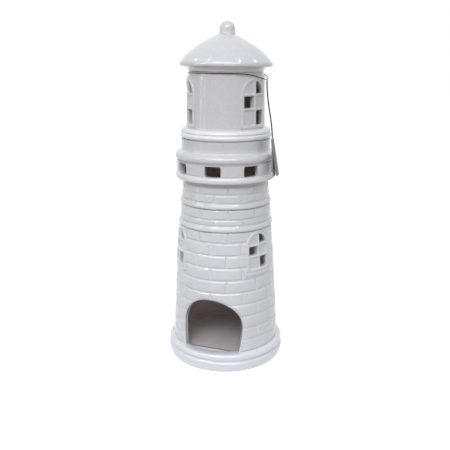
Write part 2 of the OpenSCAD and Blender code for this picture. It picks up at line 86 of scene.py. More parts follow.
# Round of the glazed edges
DOOR_RIM, SLOT_RIM, PANE_RIM, FRAME_RIM, COLLAR_EDGE = 1.3, 0.8, 0.5, 0.8, 0.7
BACK_RIM = 0.6                       # depth of a hole's rim inside the wall, as a share of its rim outside

# Painted shade round a hole: how dark the glaze is made on four rings of its rim outside and four of its rim
# inside
CHEEK_DARK = (0, 0, 0.08, 0.15, 0.25, 0.4, 0.7, 0.9)
SLOT_DARK = (0, 0, 0, 0.05, 0.3, 0.5, 0.8, 0.9)
DOOR_DARK = (0, 0.2, 0.8, 1, 0.1, 0.4, 0.9, 1)

# Painted shade on the windows and the lantern room, and painted light on the full mouldings
PANE_LINE, PANE_SHADE = 0.35, 0.07    # painted shade: a dark line round a blind pane, and a darker tone over the pane
# Painted shade over the lantern room, deeper under its neck, and a dark line along the roof's seat
ROOM_SHADE, NECK_SHADE, SEAT_LINE = 0.05, 0.12, 0.6
PAINTED_LIGHT_FADE = 0.8                    # height over which a moulding's painted light fades at its edges
PAINTED_LIGHT_BELOW = (0.11, 0.175)         # heights, in metres, between which the painted light on the low ware ends


def low(node):
    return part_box(node)[0].z / MM


def high(node):
    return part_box(node)[1].z / MM


# Heights of the seams and of the foot of the panes, from the frame
TOWER_Z, LOWER_BAND_Z, LOW_COURSE_Z = low("tower_wall"), low("lower_band"), low("middle_courses")
UPPER_BAND_Z, HIGH_Z, GALLERY_Z = low("upper_band"), low("top_courses"), low("gallery_parapet")
CORNICE_Z, DRUM_Z, SILL_Z = low("gallery_cornice"), low("watch_drum"), low("lantern_sill")
LANTERN_Z, ROOF_Z, FINIAL_Z = low("lantern_wall"), low("roof_dome"), low("roof_finial")
PARAPET_Z, CUT_Z, MIDDLE_Z = GALLERY_Z + FLARE_H, GALLERY_Z - CUT_COURSE_H, UPPER_BAND_Z - MIDDLE_H
FLOOR_Z, TOP_Z = high("chamber_floor"), high("roof_finial")
TOWER_GLASS_Z = high("tower_window_left") - FRAME_W - TOWER_WINDOW["h"]
LANTERN_GLASS_Z = high("lantern_window_left") - FRAME_W - LANTERN_WINDOW["h"]
NECK_R = LANTERN_HEAD_R - NECK_D
GALLERY_IN_R, DRUM_IN_R, LANTERN_IN_R = GALLERY_R - WALL - 1.2, DRUM_R - WALL, LANTERN_FOOT_R - WALL
NECK_IN_R = NECK_R - WALL + NECK_D


# Shapes in the section and on the wall

def smooth(low_edge, high_edge, x):
    """0 below low_edge, 1 above high_edge, and a soft step between."""
    t = np.clip((x - low_edge) / (high_edge - low_edge), 0, 1)
    return t * t * (3 - 2 * t)


def tower_r(z):
    """Outer radius of the brick tower: a taper that sets in late."""
    share = np.clip((np.asarray(z, float) - TOWER_Z) / (GALLERY_Z - TOWER_Z), 0, None)
    return TOWER_FOOT_R - (TOWER_FOOT_R - TOWER_HEAD_R) * share ** TAPER


def lantern_r(z):
    """Outer radius of the lantern room, with its narrow neck."""
    z = np.asarray(z, float)
    slope = (LANTERN_FOOT_R - LANTERN_HEAD_R) / (ROOF_Z - NECK_H - LANTERN_Z)
    return LANTERN_FOOT_R - slope * (z - LANTERN_Z) - NECK_D * smooth(-0.1, NECK_D, z - ROOF_Z + NECK_H)


def roof_fall(r):
    """How far the roof lies below its peak at radius r."""
    seat = FINIAL_R + FINIAL_STEP
    steep = FINIAL_Z - ROOF_Z - SOFFIT_H - EAVE_T - CONE_SLOPE * (EAVE_R - seat)
    return CONE_SLOPE * (r - seat) + steep * (r / EAVE_R) ** SHOULDER


def wander(az, z):
    """Small unevenness of a hand-finished casting: how far the wall stands out at a place."""
    a = np.radians(az)
    return (0.11 * np.sin(2 * a + 0.9 + z / 70) + 0.06 * np.sin(3 * a + 2.1 - z / 41)
            + 0.035 * np.sin(5 * a + 4.0 + z / 23))


def polar(az, r, z):
    """The place at azimuth az, in degrees from the door towards +X, and at radius r and height z."""
    a = radians(az)
    return r * sin(a), -r * cos(a), z


def arc(r, z, rr, rz, start, end, n=10):
    """Points of an elliptical arc in a section."""
    angles = np.radians(np.linspace(start, end, n + 1))
    return [(r + rr * cos(a), z + rz * sin(a)) for a in angles]


def rounded(before, corner, after, reach, n=3):
    """Points in the place of a section's corner, from reach before it to reach after it."""
    corner = np.array(corner)
    a, b = (corner + (np.array(p) - corner) * reach / dist(p, corner) for p in (before, after))
    return [tuple((1 - t) ** 2 * a + 2 * t * (1 - t) * corner + t * t * b) for t in np.linspace(0, 1, n + 1)]


# Making of meshes

def put_in_scene(name, data):
    """A new object of this name with these data, linked to the scene."""
    obj = bpy.data.objects.new(name, data)
    bpy.context.scene.collection.objects.link(obj)
    return obj


def dress(obj, body, replaced, materials):
    """Gives a piece its body and materials, and hides the plain solids that it stands for."""
    for material in materials:
        obj.data.materials.append(material)
    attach(obj, body)
    if replaced:
        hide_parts(*replaced)
    return obj


def make_mesh(name, points, faces, joints=None, inner_from=None, crease=50, shade_shares=None):
    """A smooth-shaded object from points in millimetres. joints is each point's share of light glaze in
    the joints and of painted light, and pools its share of painted shade. The faces from inner_from
    on take the second material."""
    mesh = bpy.data.meshes.new(name)
    mesh.from_pydata([Vector(p) * MM for p in points], [], [tuple(int(i) for i in f) for f in faces])
    for kind, values in (("joint", joints), ("pool", shade_shares)):
        attribute = mesh.attributes.new(kind, "FLOAT", "POINT")
        shares = np.zeros(len(points)) if values is None else np.asarray(values, float)
        attribute.data.foreach_set("value", shares)
    if inner_from is not None:
        mesh.polygons.foreach_set("material_index", [int(i >= inner_from) for i in range(len(faces))])
    tidy = bmesh.new()
    tidy.from_mesh(mesh)
    bmesh.ops.remove_doubles(tidy, verts=tidy.verts, dist=2e-6)
    bmesh.ops.dissolve_degenerate(tidy, edges=tidy.edges, dist=1e-6)
    bmesh.ops.recalc_face_normals(tidy, faces=tidy.faces)
    tidy.to_mesh(mesh)
    tidy.free()
    mesh.polygons.foreach_set("use_smooth", [True] * len(mesh.polygons))
    mesh.set_sharp_from_angle(angle=radians(crease))
    return put_in_scene(name, mesh)


def painted_shade_share(z, shaded_bands):
    """Painted shade: how dark the glaze is made at height z, near each crease or band of (height, width,
    share).
    """
    shares = [share * (1 - smooth(0, width, np.abs(z - at))) for at, width, share in shaded_bands]
    return np.max(shares + [0 * z], axis=0)


def painted_light_share(z, painted_bright):
    """Painted light: how much lighter the glaze is made at height z, over the (from, to, share) bands of the
    full mouldings.
    """
    shares = [share * smooth(0, PAINTED_LIGHT_FADE, np.minimum(z - foot, head - z)) for foot, head, share in painted_bright]
    return np.max(shares + [0 * z], axis=0)


def lathe(name, section, segments=168, inner_from=None, shaded_bands=(), painted_bright=(), shift=None):
    """Turns a closed section round the axis. inner_from is the place in the section where its
    inside starts, pooled holds (height, width, share) of the creases and bands painted dark as shade,
    bright holds (from, to, share) of the mouldings painted lighter as light, and shift(a, x, y, z)
    moves a point from its place."""
    section = [p for i, p in enumerate(section) if dist(p, section[i - 1]) > 1e-4]
    az = np.linspace(0, 360, segments, endpoint=False)
    points, shade_shares, painted_lights = [], [], []
    for a in az:
        for r, z in section:
            out = r + (wander(a, z) if r > 1 else 0)
            point = polar(a, out, z)
            points.append(shift(a, *point) if shift else point)
            shade_shares.append(painted_shade_share(z, shaded_bands) if r > 1 else 0)
            painted_lights.append(painted_light_share(z, painted_bright))
    n = len(section)
    faces, inner = [], []
    for i in range(segments):
        j = (i + 1) % segments
        for k in range(n):
            m = (k + 1) % n
            if section[k][0] < 0.01 and section[m][0] < 0.01:
                continue
            face = (i * n + k, j * n + k, j * n + m, i * n + m)
            (inner if inner_from is not None and k >= inner_from else faces).append(face)
    return make_mesh(name, points, faces + inner, painted_lights, len(faces), shade_shares=shade_shares)


def grid_lines(start, end, joints, offsets, most):
    """Lines of a grid from start to end: those at the offsets from each joint, and as many between
    them that none lies further than most from the next."""
    close = {round(j + o, 5) for j in joints for o in offsets if start <= j + o <= end}
    lines = sorted(close | {start, end})
    out = [lines[0]]
    for a, b in zip(lines, lines[1:]):
        parts = max(1, ceil((b - a) / most - 0.01))
        out += [a + (b - a) * (i + 1) / parts for i in range(parts)]
    return np.array(out)


def spaced(values, least):
    """The sorted values, without those that lie too near the one before."""
    values = np.unique(values)
    return values[np.concatenate([[True], np.diff(values) > least])]


def ring_faces(count, rows):
    """Faces between closed rows that have the same count of points."""
    faces = []
    for k in range(rows):
        row, above = k * count, (k + 1) * count
        faces += [(row + i, row + (i + 1) % count, above + (i + 1) % count, above + i) for i in range(count)]
    return faces


def turned_from(middle, az):
    """How far az lies round from middle, in radians within half a turn."""
    return np.radians((np.asarray(az, float) - middle + 180) % 360 - 180)


class Hole:
    """An opening cut square through the wall. edge(x, z) is the distance from its outline, below 0
    inside it, where x runs to the right of its middle; rim is the round of its edge. The cheeks of
    a radial hole run straight at the axis. dark holds the painted shade on each of the eight
    rings of its two rims, from the face to the back."""

    def __init__(self, az, edge, rim, radial=False, dark=CHEEK_DARK):
        self.az, self.edge, self.rim, self.radial, self.dark = az, edge, rim, radial, dark

    def away(self, az, z, r):
        turn = turned_from(self.az, az)
        return np.where(np.abs(turn) < 1.35, self.edge(r * np.sin(turn), z), 99.0)


def shell(name, az, levels, outer, inner, holes, joint=None, pool=None, whole=True):
    """A wall between the radii outer(az, z) and inner(z), on a grid of azimuths and heights, whole
    all the way round or a patch. Cells in a hole are left out, the points round it move to its
    edge, and a rounded rim and a cheek join the two faces there."""
    columns, rows = len(az), len(levels)
    a_flat, z_flat = (grid.ravel().astype(float) for grid in np.meshgrid(az, levels, indexing="ij"))

    def edge(a, z):
        r = outer_plain(a, z)
        return np.min([h.away(a, z, r) - h.rim for h in holes], axis=0) if holes else np.full(len(a), 99.0)

    def outer_plain(a, z):
        """The outer radius without joints, mouldings and unevenness."""
        return inner(z) + WALL

    index = np.arange(columns * rows).reshape(columns, rows)
    right = np.roll(index, -1, axis=0) if whole else index[1:]
    left = index if whole else index[:-1]
    quads = np.stack([left[:, :-1], right[:, :-1], right[:, 1:], left[:, 1:]], -1).reshape(-1, 4)
    turn = a_flat[quads]
    turn = np.where(turn < turn[:, :1] - 180, turn + 360, turn)
    keep = edge(turn.mean(1), z_flat[quads].mean(1)) > 0
    quads = quads[keep]

    starts, ends = quads.ravel(), np.roll(quads, -1, axis=1).ravel()
    size = columns * rows
    paired = np.isin(ends * size + starts, starts * size + ends)
    starts, ends = starts[~paired], ends[~paired]
    row_of = np.arange(size) % rows
    at_end = np.isin(row_of, (0, rows - 1))
    level = at_end[starts] & (row_of[starts] == row_of[ends])
    on_rim = np.unique(np.concatenate([starts[~level], ends[~level]]))

    # Newton steps carry the points round a hole to its edge
    step = 0.02
    if len(on_rim):
        a, z = a_flat[on_rim], z_flat[on_rim]
        r = outer_plain(a, z)
        for _ in range(8):
            value = edge(a, z)
            da = (edge(a + np.degrees(step / r), z) - edge(a - np.degrees(step / r), z)) / (2 * step)
            dz = np.where(at_end[on_rim], 0, (edge(a, z + step) - edge(a, z - step)) / (2 * step))
            square = np.maximum(da ** 2 + dz ** 2, 0.05)
            a = a - np.degrees(value * da / square / r)
            z = z - value * dz / square
        length = np.maximum(np.hypot(da, dz), 1e-6)
        into_a, into_z = -da / length, -dz / length
        a_flat[on_rim], z_flat[on_rim] = a, z

    used = np.unique(quads)
    number = np.full(size, -1)
    number[used] = np.arange(len(used))
    a_used, z_used = a_flat[used], z_flat[used]

    def place(a, z, r):
        turn = np.radians(a)
        return np.stack([r * np.sin(turn), -r * np.cos(turn), z], -1)

    def seen_through(a, z, r_from, r_to):
        """Azimuth at r_to of what lies straight behind a point, near a hole, and else radially."""
        out = a.copy()
        for h in holes:
            if h.radial:
                continue
            turn = turned_from(h.az, a)
            near = 1 - smooth(2, 9, h.away(a, z, r_from))
            shift = np.arcsin(np.clip(r_from * np.sin(np.clip(turn, -1.2, 1.2)) / r_to, -0.99, 0.99)) - turn
            out += np.degrees(shift) * near
        return out

    face_r = outer(a_used, z_used)
    back_r = inner(z_used)
    points = [place(a_used, z_used, face_r)]
    points.append(place(seen_through(a_used, z_used, face_r, back_r), z_used, back_r))
    none = np.zeros(len(used))
    joints = [none if joint is None else joint(a_used, z_used), none]
    # Painted shade: the back face is darkest where it meets a hole's rim
    shade_shares = [none if pool is None else pool(a_used, z_used), np.isin(used, on_rim)]
    back = len(used)
    faces = number[quads].tolist()
    for i, j in zip(starts[level], ends[level]):
        one, two = int(number[i]), int(number[j])
        faces.append((two, one, one + back, two + back))
    if len(on_rim):
        r_here = outer_plain(a, z)
        nearest = np.argmin([h.away(a, z, r_here) - h.rim for h in holes], axis=0)
        rim = np.array([h.rim for h in holes])[nearest]
        dark = np.array([h.dark for h in holes])[nearest]
        arcs = np.radians([22.5, 45, 67.5, 90])
        rings = []
        for phi in arcs:
            reach = rim * sin(phi)
            ring_a = a + np.degrees(into_a * reach / r_here)
            ring_z = z + into_z * reach
            rings.append((ring_a, ring_z, outer(ring_a, ring_z) - rim * (1 - cos(phi))))
        chains = [place(*ring) for ring in rings]
        last_a, last_z, last_r = rings[-1]
        for phi in arcs[::-1]:
            lift = rim * (1 - cos(phi)) * BACK_RIM
            reach = rim * (1 - sin(phi))
            ring_a = last_a - np.degrees(into_a * reach / r_here)
            ring_z = last_z - into_z * reach
            ring_r = inner(ring_z) + lift
            chains.append(place(seen_through(ring_a, ring_z, last_r, ring_r), ring_z, ring_r))
        place_of = {int(v): i for i, v in enumerate(on_rim)}
        # Each ring of a rim takes its hole's painted shade
        for k, chain in enumerate(chains):
            points.append(chain)
            joints.append(np.zeros(len(chain)))
            shade_shares.append(dark[:, k])
        n = len(on_rim)

        def stack(v):
            i = place_of[int(v)]
            between = [2 * back + k * n + i for k in range(len(chains))]
            return [int(number[v])] + between + [int(number[v]) + back]

        for i, j in zip(starts[~level], ends[~level]):
            one, two = stack(i), stack(j)
            faces += [(two[k], one[k], one[k + 1], two[k + 1]) for k in range(len(one) - 1)]
        ends_of = set(np.concatenate([starts[level], ends[level]]).tolist()) & set(on_rim.tolist())
        faces += [stack(v) for v in ends_of]
    first_inner = len(faces)
    faces += [(q[0] + back, q[3] + back, q[2] + back, q[1] + back) for q in number[quads].tolist()]
    return make_mesh(name, np.concatenate(points), faces, np.concatenate(joints), first_inner,
                     shade_shares=np.concatenate(shade_shares))


# Outlines on the wall, as distances in millimetres that are below 0 inside

def arch_edge(w, h, foot):
    spring = foot + h - w / 2

    def edge(x, z):
        side = np.where(z > spring, np.hypot(x, z - spring), np.abs(x)) - w / 2
        return np.maximum(side, foot - z)
    return edge


def rectangle_edge(x0, x1, z0, z1, corner):
    def edge(x, z):
        dx = np.abs(x - (x0 + x1) / 2) - (x1 - x0) / 2 + corner
        dz = np.abs(z - (z0 + z1) / 2) - (z1 - z0) / 2 + corner
        return np.hypot(np.maximum(dx, 0), np.maximum(dz, 0)) + np.minimum(np.maximum(dx, dz), 0) - corner
    return edge


def door_edge(x, z):
    """The candle door: a round head, its crown left of the middle, over nearly upright sides."""
    spring = DOOR_SPRING * DOOR_H
    x, up = x - DOOR_MID, z - TOWER_Z - spring
    fall = np.clip(-up / spring, 0, 1) ** 1.7
    half = DOOR_W / 2 + (DOOR_SILL_W - DOOR_W) / 2 * fall
    x = x - DOOR_FOOT_LEAN * fall
    dx, rise = x + DOOR_LEAN, DOOR_H - spring
    reach = DOOR_W / 2 + DOOR_LEAN * np.sign(dx)
    ratio = np.hypot(dx / reach, up / rise)
    head = ratio * (ratio - 1) / np.maximum(np.hypot(dx / reach ** 2, up / rise ** 2), 1e-6)
    return np.where(up > 0, head, np.abs(x) - half)


def window_edge(w, foot, h, ledge):
    """Outline of a whole window round its glazing, with the ledge under it."""
    arch = arch_edge(w + 2 * FRAME_W, h + 2 * FRAME_W, foot - FRAME_W)
    if not ledge:
        return arch
    half = w / 2 + FRAME_W + LEDGE_OUT
    sill = rectangle_edge(-half, half, foot - FRAME_W - ledge, foot - FRAME_W + 0.5, 0.5)
    return lambda x, z: np.minimum(arch(x, z), sill(x, z))


def pane_edges(w, foot, h):
    """[(outline, open)] of the six panes. Every second one is open, as on a chequer board."""
    arch = arch_edge(w, h, foot)
    levels = [foot, foot + BARS_AT[0] * h, foot + BARS_AT[1] * h, foot + h]
    panes = []
    for column in range(2):
        for row in range(3):
            x0, x1 = (-w / 2, -BAR_W / 2) if column == 0 else (BAR_W / 2, w / 2)
            z0 = levels[row] + (BAR_W / 2 if row else 0)
            z1 = levels[row + 1] - (BAR_W / 2 if row < 2 else 0)
            pane = rectangle_edge(x0, x1, z0, z1, 0.7)
            panes.append((lambda x, z, p=pane: np.maximum(p(x, z), arch(x, z)), (column + row) % 2 == 1))
    return panes


# Bricks

def joint_share(az, z, courses, beside=None):
    """Depth of the joints between the bricks as a share, and each brick's own small offset.
    courses is a list of (foot, head, turn, depth). The bricks end where beside falls to 0."""
    az, z = np.asarray(az, float), np.asarray(z, float)
    pitch = 360 / BRICKS
    share, lift = np.zeros(az.shape), np.zeros(az.shape)
    floor, face = JOINT_W * 0.25, JOINT_W * 0.6
    waver = 0.16 * np.sin(np.radians(az) * 7 + z * 0.9) + 0.1 * np.sin(np.radians(az) * 17 + z * 0.31)
    for foot, head, turn, depth in courses:
        inside = (z >= foot - 1e-6) & (z <= head + 1e-6)
        along = (az - turn + pitch / 2) % pitch - pitch / 2
        brick = np.floor((az - turn) / pitch) % BRICKS
        side = np.abs(np.radians(along) * tower_r(z) + waver)
        nearest = np.minimum(np.abs(z - foot + waver * 0.6), np.abs(head - z - waver * 0.6))
        gap = np.minimum(side, nearest)
        if beside is not None:
            gap = np.minimum(gap, beside)
        share = np.where(inside, depth * (1 - smooth(floor, face, gap)), share)
        own = 0.07 * np.sin(brick * 12.9898 + foot * 78.233)
        crown = 0.14 * smooth(face, 4.5, gap)
        lift = np.where(inside, own + crown, lift)
    return share, lift


def brick_shell(name, foot, head, courses, shaded_bands, holes=(), extra_az=(), extra_z=()):
    """A length of the brick tower between two heights. The door comes first in holes, and the bricks
    end beside it. extra_az and extra_z are lines added to its grid."""
    offsets = [0, -0.5, 0.5, -0.85, 0.85, -1.3, 1.3, -1.9, 1.9]
    radius = float(tower_r((foot + head) / 2))
    turns = sorted({round((c[2] + i * 360 / BRICKS) % 360, 4) for c in courses for i in range(BRICKS)})
    spread = [degrees(o / radius) for o in offsets]
    az = grid_lines(0.0, 360.0, turns + [360.0 + t for t in turns], spread,
                    degrees(BRICK_GRID_W / radius))[:-1]
    az = spaced(np.round(np.concatenate([az, np.asarray(extra_az, float) % 360]), 4), 0.3)
    seams = sorted({c[0] for c in courses} | {c[1] for c in courses})
    levels = grid_lines(foot, head, seams, offsets, BRICK_GRID_H)
    levels = spaced(np.round(np.concatenate([levels, np.asarray(extra_z, float)]), 4), 0.22)
    levels[-1] = head

    def bricks(a, z):
        beside = holes[0].away(a, z, tower_r(z)) - DOOR_MARGIN if holes else None
        return joint_share(a, z, courses, beside)

    def outer(a, z):
        share, lift = bricks(a, z)
        return tower_r(z) + wander(a, z) - JOINT_D * share + lift * (1 - share)

    def joint(a, z):
        return JOINT_LIGHT * bricks(a, z)[0]

    # Painted shade in the creases, and thin lines of it along the bricks' edges
    def pool(a, z):
        share = bricks(a, z)[0]
        return np.maximum(painted_shade_share(z, shaded_bands), BRICK_EDGE_SHADE * 4 * share * (1 - share))

    return shell(name, az, levels, outer, lambda z: tower_r(z) - WALL, list(holes), joint, pool)


# Materials

class Nodes:
    """Short names for making and joining the shader nodes of a material or a world."""

    def __init__(self, owner):
        owner.use_nodes = True
        self.owner, self.tree = owner, owner.node_tree
        self.tree.nodes.clear()

    def add(self, kind, inputs=None, **settings):
        made = self.tree.nodes.new("ShaderNode" + kind)
        for key, value in settings.items():
            setattr(made, key, value)
        for key, value in (inputs or {}).items():
            socket = made.inputs[key]
            if isinstance(value, bpy.types.NodeSocket):
                self.tree.links.new(value, socket)
            else:
                socket.default_value = value
        return made

    def noise(self, where, scale, detail=3.0, roughness=0.5):
        return self.add("TexNoise", {"Vector": where, "Scale": scale, "Detail": detail,
                                     "Roughness": roughness}).outputs["Fac"]

    def span(self, value, from_low, from_high, to_low, to_high):
        return self.add("MapRange", {"Value": value, "From Min": from_low, "From Max": from_high,
                                     "To Min": to_low, "To Max": to_high}).outputs["Result"]

    def mix(self, share, a, b):
        return self.add("Mix", {0: share, 6: a, 7: b}, data_type="RGBA").outputs[2]

    def math(self, operation, a, b):
        return self.add("Math", {0: a, 1: b}, operation=operation).outputs[0]

    def bump(self, height, strength, distance):
        inputs = {"Height": height, "Strength": strength, "Distance": distance}
        return self.add("Bump", inputs).outputs["Normal"]

    def background_seen(self):
        """1 for a ray that shows the background, straight or in a glossy or clear piece, and else 0."""
        path = self.add("LightPath").outputs
        seen = self.math("MAXIMUM", path["Is Camera Ray"], path["Is Glossy Ray"])
        return self.math("MAXIMUM", seen, path["Is Transmission Ray"])

    def finish(self, shader):
        self.add("OutputMaterial", {"Surface": shader})
        return self.owner

    def surface(self, **qualities):
        """Ends a material with a surface of these qualities, whose names are written with _ here."""
        inputs = {key.replace("_", " "): value for key, value in qualities.items()}
        return self.finish(self.add("BsdfPrincipled", inputs).outputs[0])


def colour(r, g, b):
    return (r, g, b, 1)


def glaze(name, thin, thick, joint_and_lit_tone, dark, gloss, ripple, painted_light_low=0.0, shade=None):
    """Glossy glaze from four colours: thin over the high places, thick and tinted where it ran, a light
    one for the joints and for painted light, and dark for painted shade in creases, rims and recesses.
    whiter is how much painted light lies over the low half of the ware, and shade(n, where) gives the
    share of a painted shadow of its own."""
    thin, thick, joint_and_lit_tone, dark = (colour(*tone) for tone in (thin, thick, joint_and_lit_tone, dark))
    n = Nodes(bpy.data.materials.new(name))
    where = n.add("TexCoord").outputs["Object"]
    joint = n.add("Attribute", attribute_name="joint").outputs["Fac"]
    cloud = n.noise(where, 26, 4)
    runs = n.add("Mapping", {"Vector": where, "Scale": (1, 1, 0.22)}).outputs["Vector"]
    streak = n.noise(runs, 75, 3)
    tint = n.span(n.math("ADD", cloud, streak), 0.8, 1.2, 0, 1)
    mottle = n.span(n.noise(where, 430, 4, 0.6), 0.3, 0.7, 0.0, 0.09)
    body = n.mix(mottle, n.mix(tint, thin, thick), colour(0.1, 0.1, 0.1))
    height = n.add("SeparateXYZ", {0: where}).outputs["Z"]
    # Light glaze in the joints, and painted light on the mouldings
    body = n.mix(joint, body, joint_and_lit_tone)
    # Painted light: lighter and cooler over the low half of the ware
    body = n.mix(n.span(height, *PAINTED_LIGHT_BELOW, painted_light_low, 0), body, colour(0.9, 0.94, 1))
    # Painted shade in creases, round holes and in recesses, a little uneven
    pool = n.add("Attribute", attribute_name="pool").outputs["Fac"]
    if shade:
        pool = n.math("MAXIMUM", pool, shade(n, where))
    uneven = n.span(n.noise(where, 120, 4), 0.3, 0.7, 0.7, 1)
    shade_amount = n.math("MULTIPLY", pool, uneven)
    speck = n.add("TexVoronoi", {"Vector": where, "Scale": 160.0})
    spot = n.span(speck.outputs["Distance"], 0.03, 0.07, 1, 0)
    rare = n.span(n.noise(where, 45, 1), 0.62, 0.66, 0, 0.35)
    base = n.mix(n.math("MULTIPLY", spot, rare), n.mix(shade_amount, body, dark), colour(0.45, 0.41, 0.36))
    rough = n.span(n.noise(where, 210, 5, 0.6), 0.25, 0.75, gloss * 0.7, gloss * 1.5)
    swell = n.noise(where, 95, 2)
    orange_peel = n.noise(where, 520, 2)
    relief = n.math("ADD", swell, n.math("MULTIPLY", orange_peel, 0.22))
    bump = n.bump(relief, ripple, 0.0006)
    return n.surface(Base_Color=base, Roughness=rough, Normal=bump, IOR=1.5, Specular_IOR_Level=0.5,
                     Coat_Weight=0.35, Coat_Roughness=0.05)


def yarn(name):
    """Black twisted string, with fibres in its bump and a painted sheen in lighter bands along its twist."""
    n = Nodes(bpy.data.materials.new(name))
    where = n.add("TexCoord").outputs["Object"]
    twist = n.add("TexWave", {"Vector": where, "Scale": 420.0, "Distortion": 1.5, "Detail": 2.0},
                  bands_direction="DIAGONAL").outputs["Fac"]
    fuzz = n.noise(where, 2600, 4)
    # Painted sheen: the twist's lighter bands
    base = n.mix(twist, colour(0.006, 0.005, 0.005), colour(0.04, 0.034, 0.03))
    bump = n.bump(n.math("ADD", twist, fuzz), 0.6, 0.0002)
    return n.surface(Base_Color=base, Roughness=0.85, Normal=bump, Specular_IOR_Level=0.2)


def card_stock(name):
    """Plain grey card with a faint tooth and a few fibres."""
    n = Nodes(bpy.data.materials.new(name))
    where = n.add("TexCoord").outputs["Object"]
    tooth = n.noise(where, 1400, 5, 0.65)
    cloud = n.noise(where, 90, 3)
    base = n.mix(n.span(cloud, 0.3, 0.7, 0, 1), colour(0.27, 0.245, 0.22), colour(0.38, 0.35, 0.32))
    bump = n.bump(tooth, 0.35, 0.0001)
    return n.surface(Base_Color=base, Roughness=0.7, Normal=bump)


def behind_sill(n, where):
    """Painted shadow: a dark line along the floor where the sill's edge hides it."""
    a = radians(SILL_AZ)
    ahead = n.add("VectorMath", {0: where, 1: (sin(a), -cos(a), 0)}, operation="DOT_PRODUCT")
    start = SILL_OUT - SILL_SHADE
    return n.span(ahead.outputs["Value"], start * MM, (start + SILL_LINE) * MM, 0, SILL_SHADOW_DEPTH)


# Each glaze's fourth colour is its painted shade; the white glaze's third is its light joints and painted
# light
white = glaze("white_glaze", (0.745, 0.75, 0.79), (0.715, 0.725, 0.78), (0.90, 0.915, 0.96),
              (0.16, 0.14, 0.13), gloss=0.09, ripple=0.6, painted_light_low=0.5)
# Warm glazes inside the ware, a little darker than outside: the first below, the second in the upper pieces
inside = glaze("inside_glaze", (0.68, 0.60, 0.54), (0.60, 0.53, 0.48), (0.6, 0.54, 0.5),
               (0.04, 0.035, 0.03), gloss=0.4, ripple=0.3)
upper_inside = glaze("upper_inside_glaze", (0.74, 0.61, 0.55), (0.65, 0.535, 0.48), (0.65, 0.535, 0.48),
               (0.03, 0.026, 0.022), gloss=0.4, ripple=0.3)
floor_glaze = glaze("chamber_glaze", (0.84, 0.81, 0.83), (0.76, 0.73, 0.76), (0.7, 0.68, 0.7),
                    (0.05, 0.045, 0.04), gloss=0.3, ripple=0.3, shade=behind_sill)
black_string = yarn("black_string")
grey_card = card_stock("grey_card")
WARE, UPPER_WARE = [white, inside], [white, upper_inside]


def ware(obj, node, materials=UPPER_WARE, body="lantern"):
    """Dresses a casting in white glaze outside, in the place of its plain solid."""
    dress(obj, body, [node], materials)


# The camera

CAMERA_PITCH, CAMERA_ROLL = 0.27227, radians(0.15)  # down from level, and askew, in radians
CAMERA_AWAY, CAMERA_UP = 0.528, 0.2694                   # from the axis and above the foot, in metres
FOCAL_PX, IMAGE_PX, AXIS_PX = 596.2, 450, 225.65         # focal length, image width, image x of the axis


def make_camera():
    data = bpy.data.cameras.new("camera")
    data.sensor_width = 36
    data.lens = 36 * FOCAL_PX / IMAGE_PX
    data.shift_x = -(AXIS_PX - IMAGE_PX / 2) / IMAGE_PX
    data.clip_start, data.clip_end = 0.01, 20
    camera = put_in_scene("camera", data)
    camera.location = polar(VIEW_AZ, CAMERA_AWAY, CAMERA_UP)
    level = Euler((pi / 2 - CAMERA_PITCH, 0, radians(VIEW_AZ))).to_matrix()
    camera.rotation_euler = (level @ Matrix.Rotation(CAMERA_ROLL, 3, "Z")).to_euler()
    bpy.context.scene.camera = camera


make_camera()


# The tag and its string

TAG_AZ = 105.0
ROUTE = [(-11.3, 34.6, 7.2), (-12.2, 34.5, 10.3), (-13.1, 34.6, 13.4), (-14.1, 34.8, 16.5),
         (-15, 35.1, 19.6), (-15.9, 35.4, 22.7), (-16.8, 35.8, 25.8), (-17.7, 36.2, 28.9),
         (-18.6, 36.7, 32), (-19.6, 37.2, 35.1), (-20.5, 37.7, 38.2), (-21.4, 38.1, 41.3),
         (-22.3, 38.5, 44.4), (-23.2, 38.8, 47.5), (-24.2, 39, 50.6), (-25, 39.1, 53.5)]
LOOP_AZ, LOOP_SLACK, LOOP_SAG, LOOP_DROP, LOOP_REST = 87.0, 3.6, 5.2, 0.6, 0.05
CARD_TURN = radians(15)         # the card hangs turned by this much about its string
LOOP_THIN = 0.5                      # share by which the loop is thinner where it lies tight


def tag_point(side, out, drop):
    """Place, in metres, of a point given along the card's width, out from the axis and down from
    the roof's seat."""
    a = radians(TAG_AZ)
    return Vector((side * cos(a) + out * sin(a), side * sin(a) - out * cos(a),
                   ROOF_Z - drop)) * MM


def string_curve(name, points, closed, thick):
    data = bpy.data.curves.new(name, "CURVE")
    data.dimensions = "3D"
    data.bevel_depth = thick / 2 * MM
    data.bevel_resolution = 4
    data.use_fill_caps = True
    spline = data.splines.new("POLY")
    spline.points.add(len(points) - 1)
    for point, p in zip(spline.points, points):
        point.co = (*p, 1)
    spline.use_cyclic_u = closed
    spline.use_smooth = True
    return put_in_scene(name, data)


def make_neck_string():
    """Loop round the neck, pulled out and down where the tag hangs."""
    radius = NECK_R + LOOP_D / 2 + LOOP_REST
    az = np.arange(0, 360, 5.0)
    points = []
    for a in az:
        near = max(0, cos(radians(a - LOOP_AZ)))
        z = ROOF_Z - LOOP_D - LOOP_DROP - LOOP_SAG * near ** 7
        points.append(Vector(polar(a, radius + LOOP_SLACK * near ** 3, z)) * MM)
    loop = string_curve("neck_loop", points, True, LOOP_D)
    for a, point in zip(az, loop.data.splines[0].points):
        point.radius = 1 - LOOP_THIN * smooth(-0.2, 0.7, -cos(radians(a - LOOP_AZ)))
    dress(loop, "lantern", ["neck_string"], [black_string])


def make_tag():
    points = [tag_point(*p) for p in ROUTE]
    string = string_curve("tag_cord", points, False, STRING_D)
    dress(string, "tag", ["tag_string"], [black_string])
    card = make_card(points[-1] - Vector((0, 0, SEAT_GAP * MM)))


